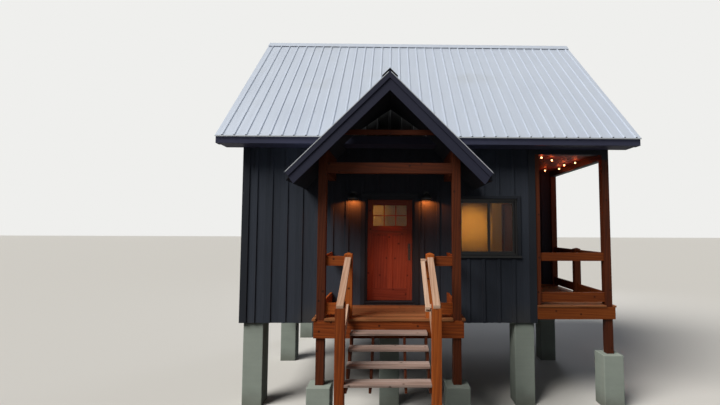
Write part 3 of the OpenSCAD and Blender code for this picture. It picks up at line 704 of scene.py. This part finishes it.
# Corner boards: the front and back ones lap the edges of the ones on the gables
def makeCornerBoards():
    wide, thick = casing["corner"], casing["thickness"]
    tall = soffitLow - skirtLow
    front, back = frontFace - thick / 2, backFace + thick / 2
    left, right = leftFace - thick / 2, rightFace + thick / 2
    half = wide / 2
    lapping = ((porchFace - half, front), (leftFace + half - thick, front),
               (leftFace + half - thick, back), (rightFace - half + thick, back))
    lapped = ((left, frontFace + half), (left, backFace - half), (right, backFace - half))
    rows = [((x, y, skirtLow), tall, turn) for places, turn in ((lapping, upX), (lapped, upY))
            for x, y in places]
    return layBoards("cornerBoards", rows, wide, thick, casingTrim, 12)


def casingRows(x0, x1, z0, z1, wide):
    y = frontFace - casing["thickness"] / 2
    return [((x0 - wide / 2, y, z0), z1 - z0, upX), ((x1 + wide / 2, y, z0), z1 - z0, upX),
            ((x0 - wide, y, z1 + wide / 2), x1 - x0 + 2 * wide, edgeX)]


def makeCasings():
    low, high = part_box("door_frame")
    door = casingRows(low.x, high.x, deckTop + casing["clear"], high.z, casing["door"])
    low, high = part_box("window_frame")
    window = casingRows(low.x + windowSill["reach"], high.x - windowSill["reach"],
                        low.z + windowSill["height"], high.z, casing["window"])
    for name, rows, width, seed in (
            ("doorCasing", door, "door", 13), ("windowCasing", window, "window", 14)):
        rideAs(layBoards(name, rows, casing[width], casing["thickness"], casingTrim, seed))


deckBoard = dict(width=0.140, gap=0.006, postGap=0.003, shortest=0.01)
treadBoard = dict(gap=0.006, thickness=0.038, ease=0.004)
floorBoard = dict(width=0.130, gap=0.001, ease=0.0015)
ceilingBoard = dict(width=0.130, gap=0.002, ease=0.004)


# Boards side by side over a CAD slab: rows, their true width and their thickness
def boardsOver(node, axis, board):
    low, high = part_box(node)
    span = high[1 - axis] - low[1 - axis]
    count = round(span / (board["width"] + board["gap"]))
    width = (span - (count - 1) * board["gap"]) / count
    rows = []
    for i in range(count):
        spot = [0, 0, (low.z + high.z) / 2]
        spot[axis] = low[axis]
        spot[1 - axis] = low[1 - axis] + width / 2 + i * (width + board["gap"])
        rows.append((spot, high[axis] - low[axis], alongX if axis == 0 else alongY))
    return rows, width, high.z - low.z


# Deck boards along X are cut where a post comes through: each post is (x0, x1, y0, y1)
def cutAtPosts(rows, width, posts):
    kept, clear = [], deckBoard["postGap"]
    for spot, length, turn in rows:
        runs = [(spot[0], spot[0] + length)]
        for x0, x1, y0, y1 in posts:
            if y0 < spot[1] + width / 2 and spot[1] - width / 2 < y1:
                runs = [run for a, b in runs for run in ((a, min(b, x0 - clear)), (max(a, x1 + clear), b))
                        if run[1] - run[0] > deckBoard["shortest"]]
        kept += [((a, spot[1], spot[2]), b - a, turn) for a, b in runs]
    return kept


def layDeck(name, node, posts, seed):
    rows, width, thickness = boardsOver(node, 0, deckBoard)
    rows = cutAtPosts(rows, width, posts)
    standFor(layBoards(name, rows, width, thickness, woods["deckWood"], seed), node)


def makeDecks():
    low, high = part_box("entry_posts")
    thick = high.y - low.y
    posts = [(low.x, low.x + thick, low.y, high.y), (high.x - thick, high.x, low.y, high.y)]
    layDeck("entryDeckBoards", "entry_deck", posts, 21)
    low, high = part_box("corner_posts")
    posts = [(high.x - thick, high.x, low.y, low.y + thick)]
    layDeck("cornerDeckBoards", "corner_deck", posts, 22)


# Each tread is two boards with a gap between them
def makeTreads():
    gap, thickness, ease = treadBoard["gap"], treadBoard["thickness"], treadBoard["ease"]
    spots = [v.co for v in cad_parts["stair_treads"].data.vertices]
    levels = sorted({round(s.z, 3) for s in spots})[1::2]
    rows = []
    for level in levels:
        step = [s for s in spots if abs(s.z - level) < near]
        y0, y1 = min(s.y for s in step), max(s.y for s in step)
        x0, x1 = min(s.x for s in step), max(s.x for s in step)
        width = (y1 - y0 - gap) / 2
        for y in (y0 + width / 2, y1 - width / 2):
            rows.append(((x0, y, level - thickness / 2), x1 - x0, alongX))
    treads = layBoards("treadBoards", rows, width, thickness, woods["treadWood"], 23, ease)
    standFor(treads, "stair_treads")


def makeFloor():
    rows, width, thickness = boardsOver("floor_boards", 0, floorBoard)
    low = lowSide("floor_boards")
    beside = porchFace - (low.y - frontFace) - low.x  # length of the boards beside the corner porch
    rows = [(spot, beside if spot[1] < porchBack else length, turn) for spot, length, turn in rows]
    floor = layBoards("roomFloor", rows, width, thickness, woods["floorWood"], 24, floorBoard["ease"])
    standFor(floor, "floor_boards")


def makeCeiling():
    rows, width, thickness = boardsOver("corner_ceiling", 1, ceilingBoard)
    # the ceiling boards take the darker cedar copy, which is painted shade
    wood, ease = woods["cedarPaintedShade"], ceilingBoard["ease"]
    ceiling = layBoards("ceilingBoards", rows, width, thickness, wood, 25, ease)
    standFor(ceiling, "corner_ceiling")


rideAs(makeBattens())
rideAs(makeCornerBoards())
makeCasings()
makeDecks()
makeTreads()
makeFloor()
makeCeiling()
print("siding, decks and floor boards laid")


# Sizes of the door: its levels are measured from the leaf's foot
doorSizes = dict(stile=0.115, lightLow=1.497, lightTall=0.200, muntin=0.020, panelLow=0.235,
                 panelHigh=1.325, panelWide=0.292, recess=0.011, leafThick=0.044, shelfLow=1.400,
                 shelfHigh=1.440, shelfInset=0.085, shelfReach=0.022, ease=0.003)


def makeDoor():
    low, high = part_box("door_leaf")
    s = doorSizes
    x0, x1, z0, z1 = low.x, high.x, low.z, high.z
    y1 = high.y
    y0 = y1 - s["leafThick"]
    a, b = x0 + s["stile"], x1 - s["stile"]
    panelLow, panelHigh, lightLow = z0 + s["panelLow"], z0 + s["panelHigh"], z0 + s["lightLow"]
    muntin, recess = s["muntin"], s["recess"]
    panels = ((a, a + s["panelWide"]), (b - s["panelWide"], b))
    boards = [((x0, y0, z0), (a, y1, z1)), ((b, y0, z0), (x1, y1, z1)),
              ((a, y0, z0), (b, y1, panelLow)), ((a, y0, panelHigh), (b, y1, lightLow)),
              ((a, y0, lightLow + 2 * s["lightTall"] + muntin), (b, y1, z1)),
              ((panels[0][1], y0, panelLow), (panels[1][0], y1, panelHigh)),
              ((x0 + s["shelfInset"], y0 - s["shelfReach"], z0 + s["shelfLow"]),
               (x1 - s["shelfInset"], y0, z0 + s["shelfHigh"]))]
    for left, right in panels:
        boards.append(((left, y0 + recess, panelLow), (right, y1 - recess, panelHigh)))
    wide = (b - a - 2 * muntin) / 3
    bar = lightLow + s["lightTall"]
    boards.append(((a, y0, bar), (b, y1, bar + muntin)))
    for i in (1, 2):
        x = a + i * wide + (i - 1) * muntin
        boards.append(((x, y0, lightLow), (x + muntin, y1, bar)))
        boards.append(((x, y0, bar + muntin), (x + muntin, y1, bar + muntin + s["lightTall"])))
    door = boxBoards("doorBoards", boards, woods["doorWood"], s["ease"], 31)
    standFor(door, "door_leaf", "door")


makeDoor()
for material, names in (
        (siding, ("front_wall_left", "front_wall_right", "front_wall_header", "back_wall",
                  "left_gable_wall", "right_gable_wall", "porch_side_wall", "porch_back_wall",
                  "roof_structure")),
        (mainSheet, ("front_roof_metal", "back_roof_metal", "ridge_cap")),
        (entrySheet, ("entry_roof_metal",)),
        (blackSteel, ("entry_ridge_cap", "frame_hinges", "door_hardware", "wall_lamps")),
        (glass, ("door_glass", "window_glass"))):
    for node in names:
        paintNode(node, material)
for material, slot, ease, names in (
        # the darker cedar copy is painted shade on the parts under the roofs and decks
        (woods["cedarPaintedShade"], "cedar", 0.004, ("entry_posts", "entry_beams", "corner_posts",
                                               "deck_joists", "stair_stringers")),
        (woods["cedar"], "cedar", 0.004, ("deck_rims", "porch_rails", "stair_newels")),
        (woods["railWood"], "cedar", 0.004, ("stair_handrails",)),
        (eaveTrim, "dark_trim", 0.004, ("eave_boards", "rake_boards")),
        (bargeTrim, "dark_trim", 0, ("barge_boards",)),
        (casingTrim, "dark_trim", 0.004, ("corner_beams", "door_frame", "entry_roof")),
        (woods["lumber"], "lumber", 0.004, ("floor_frame", "floor_joists")),
        (woods["doorWood"], "door_wood", 0.003, ("porch_door",)),
        (blackSteel, "black_metal", 0.003, ("window_frame",)),
        (concrete, "concrete", 0.012, ("concrete_piers",))):
    for node in names:
        dressNode(node, material, ease)
print("nodes dressed")


# Narrow second rail inside the right-hand newels, from a block on the lower to a return at the upper
innerRail = dict(width=0.068, gap=0.028, seat=0.015, thickness=0.038, block=0.090, blockIn=0.020,
                 lap=0.004, post=0.140, handrailTall=0.046, ease=0.004)


def makeInnerRail():
    r = innerRail
    low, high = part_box("stair_newels")
    railHigh = highSide("stair_handrails")
    top = railHigh.y
    face = high.x - r["post"]
    outer, inner = face - r["gap"], face - r["gap"] - r["width"]
    spots = [v.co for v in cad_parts["stair_handrails"].data.vertices]
    lowZ = min(s.z for s in spots if abs(s.y - low.y) < near) - r["seat"]
    end = railHigh.z - r["handrailTall"] - r["seat"]
    mesh = bpy.data.meshes.new("innerRail")
    shape = bmesh.new()
    profile = [(low.y, lowZ), (top, end), (top, end + r["thickness"]), (low.y, lowZ + r["thickness"])]
    rings = [[shape.verts.new((x, y, z)) for y, z in profile] for x in (inner, outer)]
    shape.faces.new(rings[0])
    shape.faces.new(rings[1][::-1])
    for i in range(4):
        j = (i + 1) % 4
        shape.faces.new([rings[0][j], rings[0][i], rings[1][i], rings[1][j]])
    blockY, lap = low.y + r["blockIn"], r["lap"]
    addBox(shape, (inner, blockY, lowZ - r["thickness"] + lap), (face, blockY + r["block"], lowZ + lap))
    addBox(shape, (inner, top - r["width"], end - lap), (face, top, end + r["thickness"] - lap))
    bmesh.ops.recalc_face_normals(shape, faces=shape.faces)
    finishWood(mesh, shape, woods["railWood"], r["ease"], 51)
    rideAs(addObject("innerRail", mesh))


makeInnerRail()


roofSheet = dict(ribs=36, entryRibs=5, pitch=0.2286, lead=0.020, pan=0.003, rib=0.022)
roofScrew = dict(radius=0.007, depth=0.005, sides=8, aside=0.038, proud=0.001, rows=6, first=0.06,
                 endRoom=0.3, entryUps=(0.06, 0.75, 1.45, 2.15))
ribClosure = dict(length=0.028, width=0.015, thickness=0.002, up=0.010, outward=0.001, ease=0.0005)
foldedEdge = dict(thick=0.003, eaveDrop=0.022, rakeDrop=0.044, entryDrop=0.013, gap=0.001, tuck=0.7,
                  rakeFoot=0.03, rakeShort=0.04, entryOut=0.002, entryFoot=0.02, ease=0.0008)


# A small round head on each point, its axis along the point's turn
def headTree():
    nodes, (points, material, radius, depth, sides) = newTree(
        "screwHeads", Radius="Float", Depth="Float", Sides="Int")
    head = nodes.add("GeometryNodeMeshCylinder", {"Vertices": sides, "Radius": radius, "Depth": depth})
    return endTree(nodes, onPoints(nodes, points, head, (1.0, 1.0, 1.0)), material)


# Main roof: places along its low edge, up its slope and out of its face, on the front or the back
roofLow = lowSide("front_roof_metal")
roofReach = highSide("front_roof_metal").x
roofLevel = roofLow.z
roofEdge = roofLow.y + roofSheet["rib"] * diagonal  # the ribs reach past the foot of the pan
roofSlope = (highSide("front_roof_metal").z - roofLevel) / diagonal - roofSheet["rib"]
ribPlaces = [-roofReach + roofSheet["pitch"] / 2 + roofSheet["lead"] + i * roofSheet["pitch"]
             for i in range(roofSheet["ribs"])]
sheetHalf = halfWidth("entry_roof_metal") - roofSheet["rib"] * diagonal


def onMain(x, up, out, back):
    y = roofEdge + (up - out) * diagonal
    z = roofLevel + (up + out) * diagonal
    return (-x, 2 * ridgeY - y, z) if back else (x, y, z)  # the back sheet is the front one turned round


# Entry roof: places along its depth, up its slope and out of its face, on the left or the right
def onEntry(y, up, out, side):
    x = entryMid + side * (sheetHalf - (up - out) * diagonal)
    return (x, y, entryPeak - sheetHalf + (up + out) * diagonal)


def isUnderEntry(spot):
    return spot[1] < ridgeY and abs(spot[0] - entryMid) + spot[2] < entryPeak - hiddenDepth


# A screw beside each rib, in rows up both slopes and the entry roof
def makeScrews():
    s = roofScrew
    out = roofSheet["pan"] + s["proud"]
    step = (roofSlope - s["endRoom"]) / (s["rows"] - 1)
    rows = []
    for back in (False, True):
        face = turnOf((1, 0, 0), (0, -1 if back else 1, 1))
        for x in ribPlaces:
            for i in range(s["rows"]):
                spot = onMain(x + s["aside"], s["first"] + i * step, out, back)
                if not isUnderEntry(spot):
                    rows.append((spot, 1.0, face))
    for side in (-1, 1):
        face = turnOf((0, 1, 0), (side, 0, -1))
        for i in range(roofSheet["entryRibs"]):
            y = gableFront + (i + 0.5) * roofSheet["pitch"] + s["aside"]
            for up in s["entryUps"]:
                rows.append((onEntry(y, up, out, side), 1.0, face))
    thing = addPoints("roofScrews", rows)
    addTree(thing, headTree(), dict(
        Radius=s["radius"], Depth=s["depth"], Sides=s["sides"], Material=edgeSteel))
    return bake(thing, "roofScrews")


# Dark closures in the ends of the ribs along both eaves
def makeClosures():
    c = ribClosure
    rows = []
    for back in (False, True):
        face = turnOf((-1, 0, 0), (0, 1, 1)) if back else turnOf((1, 0, 0), (0, -1, 1))
        for x in ribPlaces:
            spot = onMain(x - c["length"] / 2, -c["outward"], c["up"], back)
            if not isUnderEntry(spot):
                rows.append((spot, c["length"], face))
    return layBoards("ribClosures", rows, c["width"], c["thickness"], blackSteel, 41, c["ease"])


# Folded edges of the sheets: along both eaves, up the main gables and up the entry gable
def makeEdges():
    e = foldedEdge
    x, y, z = -roofReach, roofLow.y, roofLevel
    under = entryPeak - z - hiddenDepth  # the front edge stops where the entry roof covers it
    middle = z - e["eaveDrop"] / 2 - e["gap"]
    aside = e["thick"] * e["tuck"]
    eaves = [((x, y + aside, middle), entryMid - under - x, edgeX),
             ((entryMid + under, y + aside, middle), roofReach - entryMid - under, edgeX),
             ((x, 2 * ridgeY - y - aside, middle), 2 * roofReach, edgeX)]
    rakes, out = [], -e["rakeDrop"] / 2 - e["gap"]
    for back in (False, True):
        inward = -1 if back else 1
        turn = turnOf((0, inward, 1), (0, -inward, 1))
        for side in (-1, 1):
            start = onMain(side * (roofReach - e["thick"]), e["rakeFoot"], out, back)
            rakes.append((start, roofSlope - e["rakeShort"], turn))
    gable, out = [], -e["entryDrop"] / 2 - e["gap"]
    for side in (-1, 1):
        start = onEntry(gableFront - e["entryOut"], e["entryFoot"], out, side)
        gable.append((start, (entryHalf - e["entryFoot"]) / diagonal, turnOf((-side, 0, 1), (side, 0, 1))))
    for name, rows, drop, seed in (
            ("eaveEdges", eaves, "eaveDrop", 42), ("rakeEdges", rakes, "rakeDrop", 43),
            ("gableEdges", gable, "entryDrop", 44)):
        rideAs(layBoards(name, rows, e[drop], e["thick"], edgeSteel, seed, e["ease"]))


rideAs(makeScrews())
rideAs(makeClosures())
makeEdges()
print("roof edges and screws made")


bulb = dict(sconceRadius=0.028, sconceUp=0.048, stemRadius=0.014, stemTall=0.040, stemUp=0.045,
            stringRadius=0.020, stringSunk=0.8, socketRadius=0.012, socketTall=0.035,
            spots=[(2.419, -1.666), (2.764, -1.340), (3.317, -0.664), (3.434, -0.078), (3.195, 0.230),
                   (3.419, -1.020)])


# Balls are (centre, radius), tubes (centre, radius, height)
def roundMesh(name, balls, tubes, material):
    mesh = bpy.data.meshes.new(name)
    shape = bmesh.new()
    for centre, radius in balls:
        place = Matrix.Translation(centre)
        bmesh.ops.create_icosphere(shape, subdivisions=3, radius=radius, matrix=place)
    for centre, radius, height in tubes:
        place = Matrix.Translation(centre)
        bmesh.ops.create_cone(shape, cap_ends=True, segments=16, radius1=radius, radius2=radius,
                              depth=height, matrix=place)
    for face in shape.faces:
        face.smooth = len(face.verts) < 5
    shape.to_mesh(mesh)
    shape.free()
    mesh.materials.append(material)
    return addObject(name, mesh)


def makeBulbs():
    b, low = bulb, lowSide("wall_lamps")
    tall, sunk = b["socketTall"], b["stringRadius"] * b["stringSunk"]
    sconces = [Vector((entryMid + side * lampReach, low.y + shadeRadius, low.z + b["sconceUp"]))
               for side in (-1, 1)]
    hanging = [Vector((x, y, ceilingLow - tall - sunk)) for x, y in b["spots"]]
    balls = [(spot, b["sconceRadius"]) for spot in sconces]
    balls += [(spot, b["stringRadius"]) for spot in hanging]
    rideAs(roundMesh("bulbs", balls, [], bulbGlow))
    tubes = [(Vector((x, y, ceilingLow - tall / 2)), b["socketRadius"], tall) for x, y in b["spots"]]
    tubes += [(spot + Vector((0, 0, b["stemUp"])), b["stemRadius"], b["stemTall"]) for spot in sconces]
    rideAs(roundMesh("bulbSockets", [], tubes, blackSteel))
    return sconces, hanging


sconces, hanging = makeBulbs()
print("bulbs made")


stageLook = dict(reach=180.0, floorSeen="DAD9D6", floorLit="403F3E", worldSeen="EFEFED",
                 worldLit="DCE4F0", worldStrength=0.06)
sun = dict(turn=52.0, rise=45.0, spread=0.6)
# Each lamp's power and colour
lampLook = dict(key=(3.6, "FFFBF4"), fill=(5.0, "EEF3FF"), back=(350.0, "EEF3FF"), room=(30.0, "FFC878"),
                pool0=(130.0, "FFC060"), pool1=(230.0, "FFC060"), porch=(26.0, "FFA070"),
                sconce=(13.0, "FF7C30"), string=(1.4, "FF5A28"))


# 1 where the background is seen straight, in a mirror or through glass
def seenMask(nodes):
    path = nodes.tree.nodes.new("ShaderNodeLightPath")
    straight, mirrored, through = [
        Wire(nodes, path.outputs["Is %s Ray" % kind]) for kind in ("Camera", "Glossy", "Transmission")]
    return (straight + mirrored + through) > 0.5


def makeStage():
    mesh = bpy.data.meshes.new("ground")
    reach = stageLook["reach"]
    corners = [(x * reach, y * reach, 0) for x, y in ((-1, -1), (1, -1), (1, 1), (-1, 1))]
    mesh.from_pydata(corners, [], [(0, 1, 2, 3)])
    ground = addObject("ground", mesh)
    material, nodes = newMaterial("ground")
    shade = nodes.blend(seenMask(nodes), stageLook["floorLit"], stageLook["floorSeen"])
    nodes.surface(Base_Color=shade, Roughness=0.9, Specular_IOR_Level=0.2)
    mesh.materials.append(material)


def makeWorld():
    world = bpy.data.worlds.new("world")
    bpy.context.scene.world = world
    world.use_nodes = True
    world.node_tree.nodes.clear()
    nodes = Nodes(world.node_tree)
    lit = nodes.add("ShaderNodeBackground", {
        "Color": stageLook["worldLit"], "Strength": stageLook["worldStrength"]})
    pale = nodes.add("ShaderNodeBackground", {"Color": stageLook["worldSeen"], "Strength": 1.0})
    both = nodes.add("ShaderNodeMixShader", {0: seenMask(nodes), 1: lit, 2: pale})
    nodes.add("ShaderNodeOutputWorld", {"Surface": both})


def addLamp(name, kind, place, aim, look, **settings):
    data = bpy.data.lights.new(name, kind)
    data.energy = look[0]
    data.color = rgba(look[1])[:3]
    for key, value in settings.items():
        setattr(data, key, value)
    lamp = addObject(name, data)
    lamp.location = place
    lamp.rotation_euler = (Vector(aim) - Vector(place)).to_track_quat("-Z", "Y").to_euler()


def makeLamps():
    look = lampLook
    turn, rise = math.radians(sun["turn"]), math.radians(sun["rise"])
    away = Vector((-math.sin(turn) * math.cos(rise), -math.cos(turn) * math.cos(rise), math.sin(rise)))
    addLamp("key", "SUN", away * 20, (0, 0, 0), look["key"], angle=sun["spread"])
    for name, place, aim in (
            ("fill", (9.0, -10.0, 6.0), (0, 0, 3)), ("back", (5.0, 15.0, 8.0), (0, 2, 3))):
        addLamp(name, "AREA", place, aim, look[name], shape="DISK", size=6.0)
    room = Vector((entryMid + 1.2, ridgeY + 0.6, floorTop + 3.2))
    addLamp("room", "AREA", room, room - Vector((0, 0.6, 3)), look["room"], shape="DISK", size=1.2)
    for name, x, z in (("pool0", entryMid - 0.85, 2.0), ("pool1", porchFace - 0.2, 1.5)):
        wall = Vector((x, backFace, floorTop + z))  # what is seen through the panes
        addLamp(name, "SPOT", wall + Vector((-0.3, -1.8, 0.5)), wall, look[name], shadow_soft_size=0.05,
                spot_size=1.0, spot_blend=1.0)
    porch = Vector((entryMid + 0.3, gableFront + 0.45, floorTop + 0.9))
    addLamp("porch", "SPOT", porch, (entryMid + 0.08, frontFace, floorTop + 0.6), look["porch"],
            shadow_soft_size=0.2, spot_size=1.5, spot_blend=1.0)
    for i, spot in enumerate(sconces):
        under = spot - Vector((0, 0, bulb["sconceUp"] + 0.01))
        addLamp("sconce%d" % i, "SPOT", under, under + Vector((0, 0.1, -1)), look["sconce"],
                shadow_soft_size=0.02, spot_size=2.8, spot_blend=0.2)
    for i, spot in enumerate(hanging):
        addLamp("string%d" % i, "POINT", spot - Vector((0, 0, 0.03)), spot - Vector((0, 0, 1)),
                look["string"], shadow_soft_size=0.02)


makeStage()
makeWorld()
makeLamps()
makeCamera()
print("stage, lamps and camera placed")
